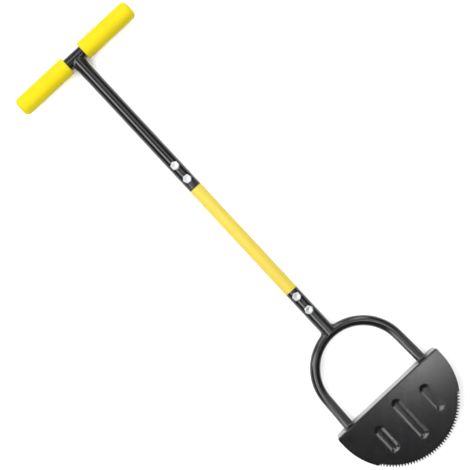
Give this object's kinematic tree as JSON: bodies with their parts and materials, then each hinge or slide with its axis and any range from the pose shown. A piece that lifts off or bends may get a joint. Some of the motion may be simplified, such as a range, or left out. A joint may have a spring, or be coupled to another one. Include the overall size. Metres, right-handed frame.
{
  "type": "half-moon lawn edger",
  "caption": "Half-moon lawn edger: a pressed, saw-toothed blade folded back into a foot step, hung from a bent bail on a bolted sectional shaft with a soft-gripped T-handle.",
  "frame": {"origin": "centre of the bounding box's base: the tool lies face up on its step's rear edge and its bolt tips", "axes": "+X along the shaft from the T-handle to the blade's teeth, +Z out of the blade's front face, +Y across the tool"},
  "size_m": [0.979, 0.269, 0.046],
  "materials": {
    "black_powder_coat": "semi-gloss black powder coat",
    "yellow_powder_coat": "semi-gloss yellow powder coat",
    "yellow_grip_foam": "matt closed-cell foam",
    "zinc_plate": "bright zinc plate"
  },
  "bodies": {
    "root": {"crossbar": "black_powder_coat", "grip_left": "yellow_grip_foam", "grip_right": "yellow_grip_foam", "upper_tube": "black_powder_coat", "middle_tube": "yellow_powder_coat", "socket_tube": "black_powder_coat", "bail": "black_powder_coat", "blade": "black_powder_coat", "bolt_1": "zinc_plate", "washer_1": "zinc_plate", "nut_1": "zinc_plate", "bolt_2": "zinc_plate", "washer_2": "zinc_plate", "nut_2": "zinc_plate", "bolt_3": "zinc_plate", "washer_3": "zinc_plate", "nut_3": "zinc_plate", "bolt_4": "zinc_plate", "washer_4": "zinc_plate", "nut_4": "zinc_plate"}
  },
  "joints": []
}
